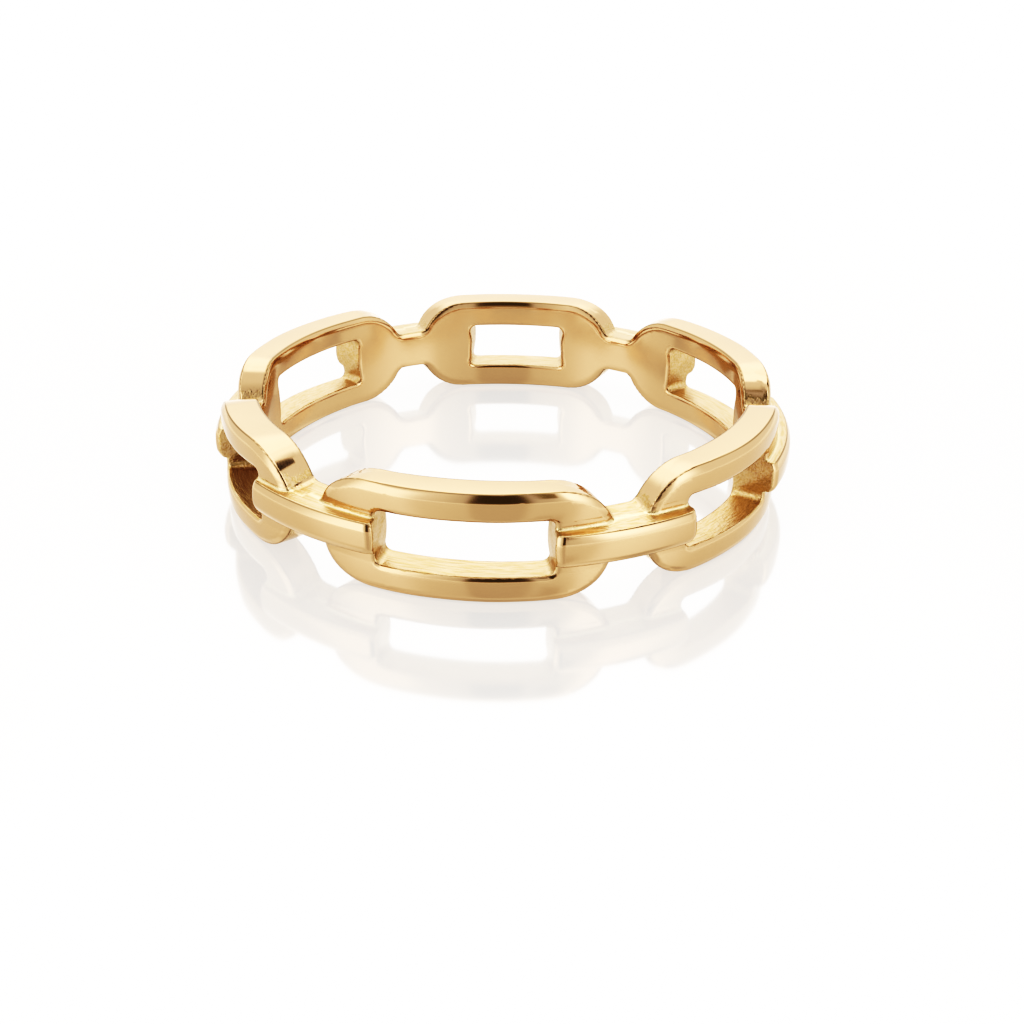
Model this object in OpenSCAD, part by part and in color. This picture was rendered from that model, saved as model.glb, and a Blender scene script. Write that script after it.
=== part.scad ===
// Chain link finger ring, cast in one piece.
// The finger hole's axis is +Z and the ring lies on its side on z = 0, with one link towards -Y.

/* [Finger hole] */
// Diameter of the finger hole
bore_d = 17.3; // [15:0.1:21]
// Rounding of the two edges that slide over the finger
edge_round = 0.27; // [0.1:0.01:0.4]

/* [Links] */
// Width of the band, which is the height of every link
link_h = 3.68; // [3:0.02:4.4]
// Thickness of a link at its middle
link_t = 1.28; // [1.1:0.02:1.6]
// Bend radius of a link's outer face, seen along the finger
link_bend_r = 8.6; // [7.8:0.1:9.4]
// How far the outer face of a link swells at half height
link_dome = 0.06; // [0.03:0.01:0.15]
// Height of the shoulder that polishing has worn beside each long edge of the outer face
shoulder_h = 0.26; // [0.1:0.01:0.4]
// How far the face is worn back at that edge
shoulder_drop = 0.12; // [0.05:0.01:0.18]
// Length of the half ellipse at each end of a link
end_length = 2.05; // [1.5:0.05:2.4]
// Space between two links where they meet the finger hole
gap_in = 0.88; // [0.5:0.02:1.2]
// Space between two links at their outer face
gap_out = 1; // [0.7:0.05:1.6]

/* [Arcs of the links] */
// Arc that the front link takes up round the ring, in degrees
front_arc = 64; // [61:0.5:66]
// Arc of the link to its right
right_front_arc = 62; // [60:0.5:65]
// Arc of the next link
right_back_arc = 61.3; // [59:0.1:64]
// Arc of the back link
back_arc = 58.4; // [56:0.1:61]
// Arc of the link after it. The short link before the front one takes the rest of the ring
left_back_arc = 66.1; // [63:0.1:68]

/* [Windows] */
// Height of the window in a link
window_h = 1.86; // [1.4:0.02:2.2]
// Radius of the window's corners
window_round = 0.3; // [0.1:0.01:0.5]

/* [Joining bars] */
// Arc from a joint between two links to the end of its bar, in degrees at the finger hole
half_bar = 14; // [12:0.1:16]
// The same at the two joints of the back link
back_half_bar = 16.2; // [14:0.1:18]
// The same on the right front link towards the back
long_half_bar = 21; // [18:0.1:24]
// The same on the short link towards the back
short_half_bar = 10; // [8.5:0.1:13]
// Height of the bars at their outer face
bar_h = 1.04; // [0.8:0.02:1.3]
// Height of the neck that a bar thickens into at the finger hole
neck_h = 1.46; // [1.32:0.02:1.6]
// Thickness of a bar, which stands proud of the ends of the links
bar_t = 1.62; // [1.5:0.01:2]
// How far the outer face of a bar swells at half height
bar_dome = 0.03; // [0.02:0.01:0.1]
// Height of the worn shoulder beside each long edge of a bar
bar_shoulder_h = 0.24; // [0.1:0.01:0.35]
// How far a bar is worn back at that edge
bar_shoulder_drop = 0.09; // [0.03:0.01:0.14]
// Height of the rounding between a bar and the end of a link
neck_round = 0.3; // [0.15:0.01:0.4]

/* [Hidden] */
$fn = 96;
bore_r = bore_d / 2;
mid_z = link_h / 2;
// Arc of every link, anticlockwise from the front one as seen from above
arcs = [
    front_arc, right_front_arc, right_back_arc, back_arc, left_back_arc,
    360 - front_arc - right_front_arc - right_back_arc - back_arc - left_back_arc
];
// Half bar on both sides of the joint that follows each link
BEFORE = 0;
AFTER = 1;
half_bars = [
    [half_bar, half_bar], [long_half_bar, half_bar], [back_half_bar, back_half_bar],
    [back_half_bar, back_half_bar], [half_bar, short_half_bar], [half_bar, half_bar]
];
link_face_r = bore_r + link_t;
// Centre of a link's outer bend, measured from the finger hole's axis
bend_centre = link_face_r - link_bend_r;
// How far the outline's curve rises past the band's flat sides, which trim it
trim = 0.04;
outline_rise = mid_z + trim;
// Where the end's curve turns into the bar, and the curve's slope there, as shares and as heights
turn_z = bar_h / 2 + neck_round;
turn_share = sqrt(1 - pow(turn_z / outline_rise, 2));
turn_slope = pow(outline_rise, 2) * turn_share / (end_length * turn_z);
turn_run = neck_round / turn_slope;
// How far the cutting shapes run past the ring, and how far its blanks run into the finger hole
past = 2;
reach = bore_r + bar_t + past;
blank_r = bore_r - 0.2;
// Share of the edge rounding's radius that is kept, so that it meets the flat sides at a soft crease
round_share = 0.94;
// Straight steps that stand for each curve
dome_steps = 3;
shoulder_steps = 3;
end_steps = 12;
neck_steps = 5;
corner_steps = 4;

// Angle from the front link's middle to the middle of link i
function place(i) = i == 0 ? 0 : place(i - 1) + (arcs[i - 1] + arcs[i]) / 2;

// Half the arc of link i less half a gap, at some radius
function tip_turn(i, gap, r) = arcs[i] / 2 - gap / r * 90 / PI;

// The two points that an end wall of link i runs through, seen from above
function end_wall(i) =
    let (a = tip_turn(i, gap_in, bore_r), b = tip_turn(i, gap_out, link_face_r))
        [
            bore_r * [sin(a), cos(a)],
            link_face_r * [sin(b), cos(b)]
        ];

// Direction that a wall runs in, and its place beside the ring's middle along that direction
function lean(wall) = atan2(wall[1][0] - wall[0][0], wall[1][1] - wall[0][1]);
function beside(wall) = wall[0][0] * cos(lean(wall)) - wall[0][1] * sin(lean(wall));

// Upper half of the outer edge of a round plate: a swelling face with a worn shoulder
function worn_edge(r, h, dome, width, drop) =
    let (plain = h / 2 - width)
        [
            for (z = concat(
                [for (i = [0:dome_steps - 1]) plain * i / dome_steps],
                [for (i = [0:shoulder_steps]) plain + width * i / shoulder_steps]
            ))
                [r - dome * pow(2 * z / h, 2) - drop * pow(max(0, z - plain) / width, 2), z]
        ];

// A round plate, from the upper half of its edge
module round_plate(edge) {
    upper = concat(edge, [[0, edge[len(edge) - 1][1]]]);
    lower = [for (i = [len(upper) - 1:-1:1]) [upper[i][0], -upper[i][1]]];
    rotate_extrude()
        polygon(concat(lower, upper));
}

// What is cut out of a blank to leave only the wall round the finger
module core() {
    cylinder(r = blank_r, h = link_h + past, center = true);
}

// Points of a link's outline from where its half ellipse begins to where it turns into the bar
function end_curve(end_x) = [
    for (i = [0:end_steps])
        let (turn = asin(turn_share) * i / end_steps)
            [end_x - end_length * (1 - sin(turn)), outline_rise * cos(turn)]
];

// Points of the rounding from there down into the bar
function neck_curve(end_x) =
    let (
        start = [end_x - end_length * (1 - turn_share), turn_z],
        bend = [start[0] + turn_run, bar_h / 2],
        stop = [bend[0] + norm([turn_run, neck_round]), bar_h / 2]
    )
        [
            for (i = [1:neck_steps])
                let (t = i / neck_steps)
                    pow(1 - t, 2) * start + 2 * t * (1 - t) * bend + pow(t, 2) * stop
        ];

// Everything that lies short of a link's right end
module end_outline(end_x) {
    upper = concat([[-reach, outline_rise]], end_curve(end_x), neck_curve(end_x));
    lower = [for (i = [len(upper) - 1:-1:0]) [upper[i][0], -upper[i][1]]];
    polygon(concat(upper, lower));
}

// One end of link i, cut along the direction that its end wall leans in
module link_end(i, side) {
    wall = end_wall(i);
    mirror([side < 0 ? 1 : 0, 0, 0])
        rotate(lean(wall))
            rotate([90, 0, 0])
                linear_extrude(reach)
                    end_outline(beside(wall));
}

// A long link: a flat plate bent tighter than the ring, with half elliptic ends
module link(i) {
    difference() {
        intersection() {
            translate([0, -bend_centre])
                round_plate(worn_edge(link_bend_r, link_h, link_dome, shoulder_h, shoulder_drop));
            link_end(i, 1);
            link_end(i, -1);
        }
        core();
    }
}

// Outline of a rectangle with round corners
function round_rectangle(left, right, half_h, r) = [
    for (corner = [[right - r, 1, 0], [left + r, 1, 90], [left + r, -1, 180], [right - r, -1, 270]])
        for (step = [0:corner_steps])
            let (turn = corner[2] + 90 * step / corner_steps)
                [corner[0] + r * cos(turn), corner[1] * (half_h - r) + r * sin(turn)]
];

// The round-cornered opening in link i, whose ends are also the ends of the joining bars
module window(i) {
    before = i == 0 ? len(arcs) - 1 : i - 1;
    left = -bore_r * sin(arcs[i] / 2 - half_bars[before][AFTER]);
    right = bore_r * sin(arcs[i] / 2 - half_bars[i][BEFORE]);
    translate([0, -(bore_r - past)])
        rotate([90, 0, 0])
            linear_extrude(reach)
                polygon(round_rectangle(left, right, window_h / 2, window_round));
}

// The belt that the joining bars are cut from, thickening into the neck at the finger hole
module belt() {
    bar_edge = worn_edge(bore_r + bar_t, bar_h, bar_dome, bar_shoulder_h, bar_shoulder_drop);
    difference() {
        round_plate(concat(bar_edge, [[bore_r, neck_h / 2], [blank_r, neck_h / 2]]));
        core();
    }
}

// The hole for the finger, opening at both edges in a rounding
module finger_hole() {
    rotate_extrude() {
        translate([0, -mid_z - past])
            square([bore_r, link_h + 2 * past]);
        for (side = [0, 1])
            mirror([0, side])
                translate([0, mid_z - round_share * edge_round])
                    difference() {
                        square([bore_r + edge_round, edge_round + past]);
                        translate([bore_r + edge_round, 0])
                            circle(edge_round);
                    }
    }
}

module chain_band() {
    color([0.83, 0.66, 0.36])
        translate([0, 0, mid_z])
            difference() {
                union() {
                    belt();
                    for (i = [0:len(arcs) - 1])
                        rotate(place(i))
                            link(i);
                }
                for (i = [0:len(arcs) - 1])
                    rotate(place(i))
                        window(i);
                finger_hole();
            }
}

chain_band();
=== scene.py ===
import bpy
import math
import numpy as np
from mathutils import Matrix, Vector


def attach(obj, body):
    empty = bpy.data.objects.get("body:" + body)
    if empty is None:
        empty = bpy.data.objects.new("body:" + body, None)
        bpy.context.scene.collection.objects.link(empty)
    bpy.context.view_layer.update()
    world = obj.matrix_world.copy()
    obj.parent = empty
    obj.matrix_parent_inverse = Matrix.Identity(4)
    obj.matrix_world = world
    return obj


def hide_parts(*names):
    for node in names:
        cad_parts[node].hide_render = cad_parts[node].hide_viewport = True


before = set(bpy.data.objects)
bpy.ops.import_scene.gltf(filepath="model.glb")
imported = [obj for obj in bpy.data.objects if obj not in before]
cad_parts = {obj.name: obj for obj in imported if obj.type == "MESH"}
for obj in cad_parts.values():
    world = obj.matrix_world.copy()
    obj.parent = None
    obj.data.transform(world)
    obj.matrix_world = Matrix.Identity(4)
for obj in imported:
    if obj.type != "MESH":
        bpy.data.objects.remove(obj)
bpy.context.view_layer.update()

# The finger hole
# A smooth round hole through the casting, turned and polished after casting, with both edges worn back
# so that the ring slides over a finger. Lengths are in millimetres, heights from the band's middle.
mm = 0.001
hole_r = 8.65
band_h = 3.68
half_h = band_h / 2
worn_edge = 0.31
worn_edge_drop = 0.07
# how far a worn face keeps its curve past its edge, as a share of the worn width
worn_past = 0.3
crease = 0.035


def rounded_meet(a, b, r):
    """Distance to what two solids share, with the edge between them rounded to r."""
    return np.minimum(np.maximum(a, b), -r) + np.hypot(np.maximum(a + r, 0), np.maximum(b + r, 0))


def worn_back(distance, width, drop, power=2):
    """How far a face is worn back at some distance inside its edge."""
    return drop * np.clip(1 - distance / width, 0, 1 + worn_past) ** power


def hole_wall(side, r):
    """Distance into the finger hole, whose edge is worn back beside the sides of the band."""
    return hole_r - r + worn_back(-side, worn_edge, worn_edge_drop)


# The long links
# Six flat links of yellow gold with half elliptic ends, bent tighter than the ring and cast in one piece
# with the bars between them. A crisp crease runs round each outer face, and the polishing wheel has
# worn the face back in a narrow shoulder beside it.

# directions of the joints between the links, in degrees from the middle of the front link
joints = np.radians([32.0, 94.0, 155.3, 213.7, 279.8, 328.0])
link_count = len(joints)
link_t = 1.27
link_bend_r = 8.6
# how much further out each link's face stands than the front one's
link_more = np.array([0, 0, 0, 0.1, 0, 0.13])
link_dome = 0.045
rail_dome = 0.026
rail_middle = 1.385
rail_half = 0.455
end_length_in = 1.8
end_length_out = 2.3
gap_in = 0.88
gap_out = 1.0
shoulder = 0.26
shoulder_drop = 0.12
shoulder_power = 1.5
pillow = 0.02
# slight waves that hand polishing leaves in the faces, how close they come along and up a link, and how
# far they move on from link to link
wave = 0.006
wave_along = 2.3
wave_up = 1.9
wave_shift = 1.7
# how far a curve that is given between -1 and 1 keeps on past them
run_on = 1.2
tiny = 1e-6

bend_centre = hole_r + link_t - link_bend_r
# the outer place where the lean of a link's end is measured, a little inside its face
tip_inset = 0.2
tip_r = hole_r + link_t - tip_inset
starts = np.append(joints[-1] - 2 * math.pi, joints[:-1])
middles = (starts + joints) / 2
halves = (joints - starts) / 2


def own_link(x, y):
    """The link that each point belongs to, and the point's place along and out from its middle."""
    turn = np.arctan2(x, -y)
    turn = np.where(turn < starts[0], turn + 2 * math.pi, turn)
    turn = np.where(turn >= joints[-1], turn - 2 * math.pi, turn)
    k = np.clip(np.searchsorted(joints, turn), 0, link_count - 1)
    r = np.hypot(x, y)
    off = turn - middles[k]
    return k, r * np.sin(off), r * np.cos(off)


def leaning_wall(along, out, in_turn, in_r, out_turn, out_r):
    """Distance past a wall that runs from one angle at an inner radius to another at an outer one."""
    ax, ay = in_r * np.sin(in_turn), in_r * np.cos(in_turn)
    bx, by = out_r * np.sin(out_turn), out_r * np.cos(out_turn)
    length = np.hypot(bx - ax, by - ay)
    nx, ny = (by - ay) / length, (ax - bx) / length
    return (along - ax) * nx + (out - ay) * ny


def link_outline(k, along, out, z):
    """Distance past a link's outline, whose ends are half ellipses."""
    in_turn = halves[k] - gap_in / 2 / hole_r
    out_turn = halves[k] - gap_out / 2 / tip_r
    end = leaning_wall(np.abs(along), out, in_turn, hole_r, out_turn, tip_r)
    length = end_length_in + (end_length_out - end_length_in) * np.clip((out - hole_r) / link_t, 0, 1)
    across = (out - hole_r) / link_t * 2 - 1
    rise = half_h - pillow * np.clip(across, -run_on, run_on) ** 2
    u = np.maximum(end + length, 0) / length
    v = np.abs(z) / rise
    q = np.maximum(np.hypot(u, v), tiny)
    return (q - 1) * q / np.hypot(u / length, np.maximum(v, tiny) / rise)


def link_face(k, along, out, z):
    """Distance past the bent outer face of a link."""
    swell = link_dome * (z / half_h) ** 2
    swell = swell + rail_dome * np.clip((np.abs(z) - rail_middle) / rail_half, -run_on, run_on) ** 2
    swell = swell + wave * np.sin(wave_along * along + wave_shift * k + wave_up * z)
    return np.hypot(along, out - bend_centre) - (link_bend_r + link_more[k] - swell)


def worn_link_face(outline, k, along, out, z):
    """Distance past that face with its shoulder, at some distance past the outline."""
    return link_face(k, along, out, z) + worn_back(-outline, shoulder, shoulder_drop, shoulder_power)


# The joining bars
# Short square bars of the same casting. Each runs from the window of one link over both link ends to
# the window of the next, stands proud of their faces, and thickens into a neck at the finger hole.
neck_h = 1.46
bar_h = 1.02
bar_t = 1.62
bar_shoulder = 0.24
bar_drop = 0.09
bar_dome = 0.045
# how much higher the outside of the bar at each joint sits
bar_lift = np.array([0.04, 0, 0.17, 0.15, 0, 0.1])


def bar_side(k, along, r, z):
    """Distance past the upper or lower side of the bars."""
    share = np.clip((r - hole_r) / bar_t, 0, run_on)
    lift = bar_lift[np.where(along > 0, k, k - 1)] * share
    return np.abs(z - lift) - (neck_h + (bar_h - neck_h) * share) / 2


def bar_face(side, r):
    """Distance past the outer face of the bars, at some distance past their sides."""
    swell = bar_dome * np.clip(1 + 2 * side / bar_h, 0, 1) ** 2
    return r - hole_r - bar_t + swell + worn_back(-side, bar_shoulder, bar_drop, shoulder_power)


# The windows
# A round-cornered opening through each link, left as it came out of the mould, with worn rims. Its ends
# are the ends of the joining bars and swell into it. The back link's window is lower at its top.
window_h = 1.86
window_less = np.array([0, 0, 0, 0.12, 0, 0])
window_corner = 0.3
window_swell = 0.13
# slight waves that the mould leaves in the ends, how close they come up and out along an end, and how
# far they move on from window to window
end_wave = 0.012
end_wave_up = 8
end_wave_out = 6
end_wave_shift = 3
# solid stretches from each joint back to the window before it, and on to the window after it, at the
# finger hole and at the outside, in degrees of the ring
before_in = np.radians([14.2, 21.0, 16.4, 16.0, 15.3, 12.4])
before_out = np.radians([14.4, 23.0, 17.0, 18.5, 15.0, 12.2])
after_in = np.radians([12.4, 11.5, 15.6, 16.0, 9.5, 14.5])
after_out = np.radians([11.6, 12.5, 18.5, 16.5, 8.5, 16.5])


def windows(k, along, out, z):
    """Distance past a window's walls, below zero in the opening."""
    right = along > 0
    at_in = halves[k] - np.where(right, before_in[k], after_in[k - 1])
    at_out = halves[k] - np.where(right, before_out[k], after_out[k - 1])
    end = leaning_wall(np.abs(along), out, at_in, hole_r, at_out, hole_r + bar_t)
    end = end + window_swell * np.clip(1 - (2 * z / window_h) ** 2, 0, 1)
    end = end + end_wave * np.sin(end_wave_up * z + end_wave_shift * k) * np.sin(end_wave_out * out + k)
    top = np.where(z > 0, np.abs(z) + window_less[k], np.abs(z)) - window_h / 2
    return rounded_meet(end, top, window_corner)


# The casting
# Links, bars and finger hole are one solid piece of gold. It is polished wherever a wheel can reach,
# and still has the grain of the mould in the windows and between the links.

# fillet between a bar and the ends of its links, deep down and near the links' faces, and these depths
neck_fillet = 0.2
seam_fillet = 0.06
fillet_depths = (-0.5, -0.1)
# how wide and how far the windows' rims are worn, in the links and at the ends of the bars
link_rim = 0.17
link_rim_drop = 0.07
bar_rim = 0.28
bar_rim_drop = 0.13
# rounding of the windows' edges at the finger hole and further out, and these distances from the hole
inner_edge = 0.13
outer_edge = 0.02
edge_places = (0.1, 0.5)


def filleted_join(a, b, r):
    """Distance to two solids joined, with the corner between them filled to r."""
    return np.maximum(np.minimum(a, b), r) - np.hypot(np.maximum(r - a, 0), np.maximum(r - b, 0))


def casting(x, y, z):
    """Distance to the skin of the ring, below zero in the gold."""
    k, along, out = own_link(x, y)
    r = np.hypot(x, y)
    window = windows(k, along, out, z)
    outline = link_outline(k, along, out, z)
    face = worn_link_face(outline, k, along, out, z) + worn_back(window, link_rim, link_rim_drop)
    link = rounded_meet(outline, face, crease)
    side = bar_side(k, along, r, z)
    bar = rounded_meet(side, bar_face(side, r) + worn_back(window, bar_rim, bar_rim_drop), crease)
    fillet = np.interp(link_face(k, along, out, z), fillet_depths, (neck_fillet, seam_fillet))
    body = filleted_join(link, bar, fillet)
    body = rounded_meet(body, hole_wall(filleted_join(outline, side, neck_fillet), r), crease)
    edge = np.interp(r - hole_r, edge_places, (inner_edge, outer_edge))
    return rounded_meet(body, -window, edge)


def graded(low, high, coarse, fine, spots, reach, samples=20001):
    """Places from low to high, coarse apart, and fine apart within reach of the spots."""
    t = np.linspace(low, high, samples)
    near = np.exp(-((t[:, None] - np.asarray(spots)[None]) / reach) ** 4).max(1)
    density = 1 / coarse + (1 / fine - 1 / coarse) * near
    count = np.concatenate([[0], np.cumsum((density[1:] + density[:-1]) / 2 * np.diff(t))])
    steps = int(math.ceil(count[-1]))
    return np.interp(np.linspace(0, count[-1], steps + 1), count, t)


# The skin is laid on a grid that runs a little past the metal. It is finer near the joints, near the
# creases and near the edges of the bars and windows.
margin = 0.1
inside = 0.05
bar_edge = 0.5
window_edge = 0.95
link_faces = (1.0, 1.3)
wall_r = 9.4
ring_turns = graded(
    starts[0], joints[-1], coarse=0.14 / wall_r, fine=0.072 / wall_r,
    spots=np.append(starts[0], joints), reach=2.7 / wall_r
)[:-1]
heights = graded(
    -half_h - margin, half_h + margin, coarse=0.12, fine=0.06,
    spots=[-half_h + inside, -window_edge, -bar_edge, bar_edge, window_edge, half_h - inside], reach=0.14
)
radii = graded(
    hole_r - margin, hole_r + bar_t + margin, coarse=0.12, fine=0.065,
    spots=[hole_r + inside, hole_r + link_faces[0], hole_r + link_faces[1], hole_r + bar_t], reach=0.2
)


def slope(field, p, step):
    """Gradient of a field at points."""
    g = np.empty_like(p)
    for axis in range(3):
        d = np.zeros(3)
        d[axis] = step
        g[:, axis] = (field(*(p + d).T) - field(*(p - d).T)) / (2 * step)
    return g


def drawn_to_skin(field, points, passes=5, step=0.004, least_slope=0.2, longest_move=0.04):
    """The points moved onto the skin of a field, in a few short moves along its slope."""
    for turn in range(passes):
        g = slope(field, points, step)
        move = -field(*points.T)[:, None] * g / np.maximum((g ** 2).sum(1), least_slope)[:, None]
        length = np.linalg.norm(move, axis=1, keepdims=True)
        points = points + move * np.minimum(1, longest_move / np.maximum(length, tiny))
    return points


def skin(field, turns, heights, radii):
    """Closed skin of four-sided faces round a field, on a grid that goes round the ring."""
    t, z, r = np.meshgrid(turns, heights, radii, indexing="ij")
    corner = np.stack([r * np.sin(t), -r * np.cos(t), z], -1)
    value = field(corner[..., 0], corner[..., 1], corner[..., 2])

    def round_pair(a):
        return a + np.roll(a, -1, 0)

    def high_pair(a):
        return a[:, :-1] + a[:, 1:]

    def wide_pair(a):
        return a[:, :, :-1] + a[:, :, 1:]

    def crossing(v0, v1, p0, p1):
        cut = (v0 < 0) != (v1 < 0)
        share = np.where(cut, v0 / np.where(cut, v0 - v1, 1), 0)[..., None]
        return cut, np.concatenate([(p0 + (p1 - p0) * share) * cut[..., None], cut[..., None] * 1.0], -1)

    # one point in each cell that the skin passes through, at the mean of its crossings
    cut_t, at_t = crossing(value, np.roll(value, -1, 0), corner, np.roll(corner, -1, 0))
    cut_z, at_z = crossing(value[:, :-1], value[:, 1:], corner[:, :-1], corner[:, 1:])
    cut_r, at_r = crossing(value[:, :, :-1], value[:, :, 1:], corner[:, :, :-1], corner[:, :, 1:])
    total = high_pair(wide_pair(at_t)) + round_pair(wide_pair(at_z)) + round_pair(high_pair(at_r))
    used = total[..., 3] > 0
    number = np.full(used.shape, -1)
    number[used] = np.arange(used.sum())
    points = drawn_to_skin(field, total[used][:, :3] / total[used][:, 3:])

    # one face across each grid line that the skin cuts, between the four cells round that line
    faces = []

    def lay(cut, outward, *cells):
        quad = np.stack([cell[cut] for cell in cells], 1)
        flip = outward[cut]
        quad[flip] = quad[flip][:, ::-1]
        faces.append(quad)

    before = np.roll(number, 1, 0)
    gold_side = value < 0
    lay(
        cut_t[:, 1:-1, 1:-1], gold_side[:, 1:-1, 1:-1],
        number[:, :-1, :-1], number[:, :-1, 1:], number[:, 1:, 1:], number[:, 1:, :-1]
    )
    lay(
        cut_z[:, :, 1:-1], gold_side[:, :-1, 1:-1],
        before[:, :, :-1], number[:, :, :-1], number[:, :, 1:], before[:, :, 1:]
    )
    lay(
        cut_r[:, 1:-1], gold_side[:, 1:-1, :-1],
        before[:, :-1], before[:, 1:], number[:, 1:], number[:, :-1]
    )
    return points, np.concatenate(faces)


normal_step = 0.006
places, faces = skin(casting, ring_turns, heights, radii)
normals = slope(casting, places, normal_step)
normals /= np.linalg.norm(normals, axis=1, keepdims=True)


def close_to(distance, fade, reach):
    """1 next to a surface, falling to 0 over one fade, which ends reach fades away from it."""
    return np.clip(reach - np.abs(distance) / fade, 0, 1)


# Where the skin is still as cast: in the windows, on the bars' sides where they stand clear of the
# links, on the foot of the link ends, and in the groove beside each bar. The finger hole is polished.
x, y, z = places.T
k, along, out = own_link(x, y)
r = np.hypot(x, y)
outline = link_outline(k, along, out, z)
face = worn_link_face(outline, k, along, out, z)
side = bar_side(k, along, r, z)
bar_front = bar_face(side, r)
wall_fade = 0.02
wall_reach = 1.6
bar_fade = 0.04
bar_reach = 1.5
groove_w = 0.09
groove_foot = 0.01
polished_rim = 0.03
polished_hole = 0.06
foot_top = 1.3
foot_fade = 0.6
in_window = close_to(windows(k, along, out, z), wall_fade, wall_reach)
clear_of_links = (outline > -wall_fade) | (face > 0)
on_bar = close_to(side, bar_fade, bar_reach) * clear_of_links * (bar_front < -polished_rim)
foot = np.clip((foot_top - np.abs(z)) / foot_fade, 0, 1)
link_foot = close_to(outline, wall_fade, wall_reach) * foot * (face < -polished_rim)
in_groove = close_to(np.hypot(face, side), groove_w, bar_reach)
in_groove = in_groove * (side > -groove_foot) * (face > -groove_w)
as_cast = np.maximum.reduce([in_window, on_bar, link_foot, in_groove]) * (r > hole_r + polished_hole)

# How far each point is from the nearest crease, and its place in the grain of the mould, which is drawn
# out round the ring. The edge of the finger hole counts as twice as near as it is.
edge_share = 0.5
grain_draw = 0.1
grain_skew = 1.7
body_side = np.minimum(outline, side)
# from_crease also places the painted shade along the creases in the material
from_crease = np.minimum.reduce([
    np.maximum(np.abs(outline), np.abs(face)),
    np.maximum(np.abs(side), np.abs(bar_front)),
    np.maximum(np.abs(body_side), edge_share * np.abs(hole_wall(body_side, r)))
])
grain = np.stack([r, z, grain_draw * (x + grain_skew * y)], -1)

mesh = bpy.data.meshes.new("chain_band_casting")
mesh.from_pydata((places + [0, 0, half_h]) * mm, [], faces.tolist())
mesh.validate()
mesh.update()
mesh.shade_smooth()
mesh.normals_split_custom_set_from_vertices(normals.tolist())
for name, values in (("as_cast", as_cast), ("in_groove", in_groove), ("from_crease", from_crease)):
    mesh.attributes.new(name, "FLOAT", "POINT").data.foreach_set("value", values.astype(np.float32))
grain_places = mesh.attributes.new("grain", "FLOAT_VECTOR", "POINT")
grain_places.data.foreach_set("vector", grain.astype(np.float32).ravel())
ring = bpy.data.objects.new("chain_band_casting", mesh)
bpy.context.collection.objects.link(ring)

gold_glint = (0.99, 0.96, 0.91, 1)
worn_deep = (0.54, 0.376, 0.225, 1)
worn_pale = (0.573, 0.401, 0.241, 1)
cast_deep = (0.48, 0.33, 0.16, 1)
cast_pale = (0.56, 0.41, 0.25, 1)
# painted light: a paler gold in the grooves, offsetting their shade
painted_groove_light = (0.7, 0.56, 0.34, 1)
# painted shade: the thin dark line along the creases
painted_crease_shade = (0.12, 0.08, 0.035, 1)

gold = bpy.data.materials.new("polished yellow gold")
gold.use_nodes = True
nodes, links = gold.node_tree.nodes, gold.node_tree.links
shader = nodes["Principled BSDF"]
shader.inputs["Metallic"].default_value = 1.0
shader.inputs["Specular Tint"].default_value = gold_glint


def reading(name):
    """The node that reads what the mesh carries under this name."""
    node = nodes.new("ShaderNodeAttribute")
    node.attribute_name = name
    return node


def figure(kind, *values):
    """A math node, fed by sockets or plain numbers."""
    node = nodes.new("ShaderNodeMath")
    node.operation = kind
    for socket, value in zip(node.inputs, values):
        if isinstance(value, (int, float)):
            socket.default_value = value
        else:
            links.new(value, socket)
    return node.outputs[0]


def centred(value, share):
    """A noise made to swing about zero instead of one half, times a share."""
    return figure("MULTIPLY", figure("SUBTRACT", value, 0.5), share)


def between(value, low, high, at_low, at_high):
    """A value that goes softly from at_low to at_high while another goes from low to high."""
    node = nodes.new("ShaderNodeMapRange")
    node.interpolation_type = "SMOOTHSTEP"
    links.new(value, node.inputs["Value"])
    for name, number in (("From Min", low), ("From Max", high), ("To Min", at_low), ("To Max", at_high)):
        node.inputs[name].default_value = number
    return node.outputs["Result"]


def grains(where, stretch, size, detail):
    """Noise over places that are first stretched."""
    scale = nodes.new("ShaderNodeVectorMath")
    scale.operation = "MULTIPLY"
    links.new(where, scale.inputs[0])
    scale.inputs[1].default_value = stretch
    noise = nodes.new("ShaderNodeTexNoise")
    noise.inputs["Scale"].default_value = size
    noise.inputs["Detail"].default_value = detail
    links.new(scale.outputs[0], noise.inputs["Vector"])
    return noise.outputs["Fac"]


def tint(share, plain, other):
    """A colour between two, by share."""
    node = nodes.new("ShaderNodeMix")
    node.data_type = "RGBA"
    links.new(share, node.inputs["Factor"])
    colour_a, colour_b, colour_out = node.inputs[6], node.inputs[7], node.outputs[2]
    for socket, value in ((colour_a, plain), (colour_b, other)):
        if isinstance(value, tuple):
            socket.default_value = value
        else:
            links.new(value, socket)
    return colour_out


# Noise in grains to the millimetre, even all over or drawn out the way the grain of the mould runs
to_mm = (1 / mm, 1 / mm, 1 / mm)
where = nodes.new("ShaderNodeTexCoord").outputs["Object"]
along_grain = reading("grain").outputs["Vector"]
sand = grains(where, to_mm, size=11, detail=2)
specks = grains(where, to_mm, size=5, detail=3)
clouds = grains(where, to_mm, size=0.9, detail=2)
lines = grains(along_grain, (1, 1, 1), size=13, detail=3)
hairs = grains(along_grain, (1, 1, 0.5), size=34, detail=2)
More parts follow.
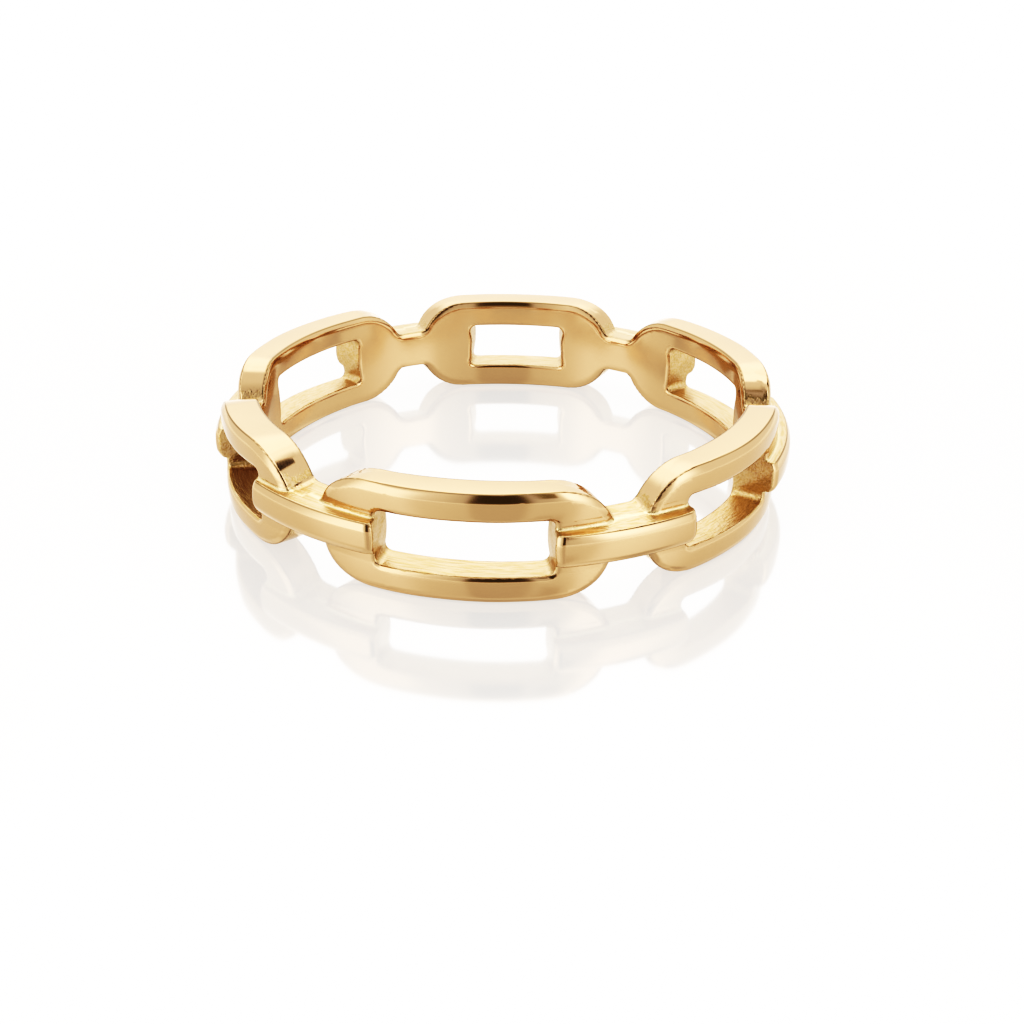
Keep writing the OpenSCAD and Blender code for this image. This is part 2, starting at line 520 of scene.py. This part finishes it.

# The polished skin is gold in two close tones, with a thin brown line of painted shade along the
# creases, standing in for the dark reflections that the creases catch.
# The skin as cast is deeper, and specks break up its border; in the grooves it is painted paler, painted
# light that offsets the shade and deep colour the grooves take from light bouncing in them.
border_specks = 1.3
cast_share = figure("ADD", reading("as_cast").outputs["Fac"], centred(specks, border_specks))
rough_skin = between(cast_share, 0.38, 0.62, 0, 1)
# The painted crease shade lies at the creases and fades out between 0.014 and 0.044 mm from them
painted_crease_share = between(reading("from_crease").outputs["Fac"], 0.014, 0.044, 0.75, 0)
worn = tint(clouds, worn_deep, worn_pale)
cast = tint(between(lines, 0.36, 0.6, 0, 1), cast_deep, cast_pale)
# The grooves get a painted lightening: paler gold in place of their shade
cast = tint(reading("in_groove").outputs["Fac"], cast, painted_groove_light)
colour = tint(rough_skin, worn, cast)
links.new(tint(painted_crease_share, colour, painted_crease_shade), shader.inputs["Base Color"])

# Polished gold is smooth but for fine hairs, and as cast it is duller, grained and sandy
smoothest = 0.085
least_smooth = 0.12
cast_dulling = 0.2
hairs_dulling = 0.03
hairs_relief = 0.01
sand_relief = 0.5
relief_depth = 0.03 * mm
polish = between(clouds, 0.35, 0.65, smoothest, least_smooth)
polish = figure("ADD", polish, figure("MULTIPLY", hairs, hairs_dulling))
roughness = figure("ADD", polish, figure("MULTIPLY", rough_skin, cast_dulling))
links.new(roughness, shader.inputs["Roughness"])
cast_relief = figure("ADD", figure("SUBTRACT", lines, 0.5), centred(sand, sand_relief))
relief = figure("MULTIPLY", rough_skin, cast_relief)
relief = figure("ADD", relief, figure("MULTIPLY", hairs, hairs_relief))
bump = nodes.new("ShaderNodeBump")
bump.inputs["Strength"].default_value = 0.6
bump.inputs["Distance"].default_value = relief_depth
links.new(relief, bump.inputs["Height"])
links.new(bump.outputs[0], shader.inputs["Normal"])
mesh.materials.append(gold)

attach(ring, "root")
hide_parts("chain_band")

# The floor
# A sheet of glossy white acrylic, lit softly from below and wide enough to run past the picture on
# every side.
half_floor = 1.5
floor_mesh = bpy.data.meshes.new("floor")
floor_mesh.from_pydata([
    (-half_floor, -half_floor, 0),
    (half_floor, -half_floor, 0),
    (half_floor, half_floor, 0),
    (-half_floor, half_floor, 0)
], [], [(0, 1, 2, 3)])
floor = bpy.data.objects.new("floor", floor_mesh)
bpy.context.collection.objects.link(floor)

acrylic_white = (0.15, 0.148, 0.143, 1)
acrylic_glow = (1, 0.975, 0.945, 1)
acrylic = bpy.data.materials.new("glossy white acrylic")
acrylic.use_nodes = True
shader = acrylic.node_tree.nodes["Principled BSDF"]
shader.inputs["Base Color"].default_value = acrylic_white
shader.inputs["Emission Color"].default_value = acrylic_glow
shader.inputs["Emission Strength"].default_value = 0.56
shader.inputs["Roughness"].default_value = 0.085
shader.inputs["IOR"].default_value = 2.8
floor_mesh.materials.append(acrylic)

# The camera
# It looks down at the ring from in front, a little to the right of the front link's middle. Its rise,
# roll, pan and tilt are in radians.
ring_turn = math.radians(7.9)
camera_away = 5.8085 * hole_r
camera_rise = 0.4316
camera_roll = 0.0046
camera_pan = 0.0067
camera_tilt = -0.0311
film_w = 36
picture_w = 1024
focal_pixels = 1357.02

ahead = Vector((0, math.cos(camera_rise), -math.sin(camera_rise)))
place = -ahead * camera_away * mm
right = Vector((1, 0, 0))
up = right.cross(ahead)
ahead = (ahead + camera_pan * right + camera_tilt * up).normalized()
right = ahead.cross(up).normalized()
up = right.cross(ahead)
rolled_right = math.cos(camera_roll) * right + math.sin(camera_roll) * up
rolled_up = -math.sin(camera_roll) * right + math.cos(camera_roll) * up
seat = Matrix((rolled_right, rolled_up, -ahead)).transposed().to_4x4()
seat.translation = place
camera_data = bpy.data.cameras.new("camera")
camera_data.lens = focal_pixels / picture_w * film_w
camera_data.sensor_width = film_w
camera_data.clip_start = 0.001
camera_data.clip_end = 10
camera = bpy.data.objects.new("camera", camera_data)
camera.matrix_world = Matrix.Rotation(ring_turn, 4, "Z") @ seat
bpy.context.collection.objects.link(camera)
bpy.context.scene.camera = camera

# The light
# A white tent round the ring, lit by sheets and boxes from outside. Dark lines in the bright faces come
# from a slit in its front, and from a dark post and a dark card on its right.
world = bpy.data.worlds.new("studio")
bpy.context.scene.world = world
world.use_nodes = True
nodes, links = world.node_tree.nodes, world.node_tree.links
nodes.clear()

# Every direction is given in degrees as seen from the ring: its height over the floor, and its turn from
# straight behind, with right counted up to 180 in front and left down to -180
where = nodes.new("ShaderNodeTexCoord")
facing_camera = nodes.new("ShaderNodeVectorRotate")
facing_camera.rotation_type = "Z_AXIS"
facing_camera.inputs["Angle"].default_value = -ring_turn
links.new(where.outputs["Generated"], facing_camera.inputs["Vector"])
split = nodes.new("ShaderNodeSeparateXYZ")
links.new(facing_camera.outputs[0], split.inputs[0])
sideways, backwards, upwards = split.outputs
height = figure("MULTIPLY", figure("ARCSINE", upwards), math.degrees(1))
turn = figure("MULTIPLY", figure("ARCTAN2", sideways, backwards), math.degrees(1))
off_back = figure("ABSOLUTE", turn)
off_front = figure("SUBTRACT", 180.0, off_back)


def product(*values):
    """All the values multiplied together."""
    total = values[0]
    for value in values[1:]:
        total = figure("MULTIPLY", total, value)
    return total


def rising(value, low, high, full=1):
    """0 up to low, and full from high on."""
    return between(value, low, high, 0, full)


def falling(value, low, high):
    """1 up to low, and 0 from high on."""
    return between(value, low, high, 1, 0)


# What lights the tent from outside
back_sheet = product(between(height, 12, 44, 0.38, 1.2), falling(off_back, 20, 38))
high_sheet = product(rising(height, 27, 38, 1.05), falling(off_back, 40, 64))
ceiling = product(rising(height, 58, 70, 1.25), rising(turn, -70, -30), falling(turn, 95, 125))
left_box = product(
    rising(turn, -150, -134, 1.05), falling(turn, -118, -92),
    falling(height, 38, 47)
)
left_lamp = product(
    rising(turn, -106, -94, 0.75), falling(turn, -70, -58),
    rising(height, 41, 47), falling(height, 58, 64)
)
right_box = product(
    rising(turn, 96, 132), falling(turn, 138, 148),
    between(height, 0, 28, 0.5, 1.4), falling(height, 50, 62)
)
tent_glow = 1.1
tent = figure("MAXIMUM", figure("MAXIMUM", back_sheet, high_sheet), ceiling)
for light in (left_box, left_lamp, right_box, tent_glow):
    tent = figure("ADD", tent, light)

# The slit, closed overhead and glowing a little near the floor, and the cloth beside it
slit = figure("MAXIMUM", rising(off_front, 11, 16), rising(height, 58, 74))
slit = figure("MAXIMUM", slit, between(height, 3, 12, 0.55, 0.17))
beside_slit = figure("MAXIMUM", between(off_front, 15, 34, 0.7, 1), rising(height, 64, 76))

# The dark post, which is faint low down, and the dark card, whose left edge leans
post = product(
    rising(turn, 149, 152), falling(turn, 160, 163),
    rising(height, -2, 4), falling(height, 60, 66), between(height, 26, 36, 0.1, 0.65)
)
card_lean = (0.533, 0.845)
slant = figure("ADD", figure("MULTIPLY", turn, card_lean[0]), figure("MULTIPLY", height, card_lean[1]))
card = product(
    rising(slant, 87.0, 88.2, 0.94), falling(turn, 100, 110),
    rising(height, 50.5, 52), falling(height, 65, 70)
)

# What light there is in the dark places comes warm off the room
room_warm = (1, 0.78, 0.38, 1)
white = (1, 1, 1, 1)
shade = product(slit, figure("SUBTRACT", 1.0, post), figure("SUBTRACT", 1.0, card))
glow = nodes.new("ShaderNodeBackground")
links.new(tint(between(shade, 0.1, 0.8, 0, 1), room_warm, white), glow.inputs["Color"])
links.new(product(tent, beside_slit, shade), glow.inputs["Strength"])
result = nodes.new("ShaderNodeOutputWorld")
links.new(glow.outputs[0], result.inputs["Surface"])

# How the film takes the light, as pairs of light and tone: soft in the highlights, firm in the shadows
film_white = 1.2
film_tones = (
    (0.0827, 0.026), (0.125, 0.068), (0.19, 0.145), (0.2875, 0.317),
    (0.4356, 0.552), (0.66, 0.784), (1.0, 0.956)
)
view = bpy.context.scene.view_settings
view.view_transform = "Standard"
view.use_curve_mapping = True
film = view.curve_mapping
film.white_level = (film_white, film_white, film_white)
film.extend = "HORIZONTAL"
all_colours = film.curves[3]
for light, tone in film_tones:
    all_colours.points.new(light / film_white, tone)
film.update()
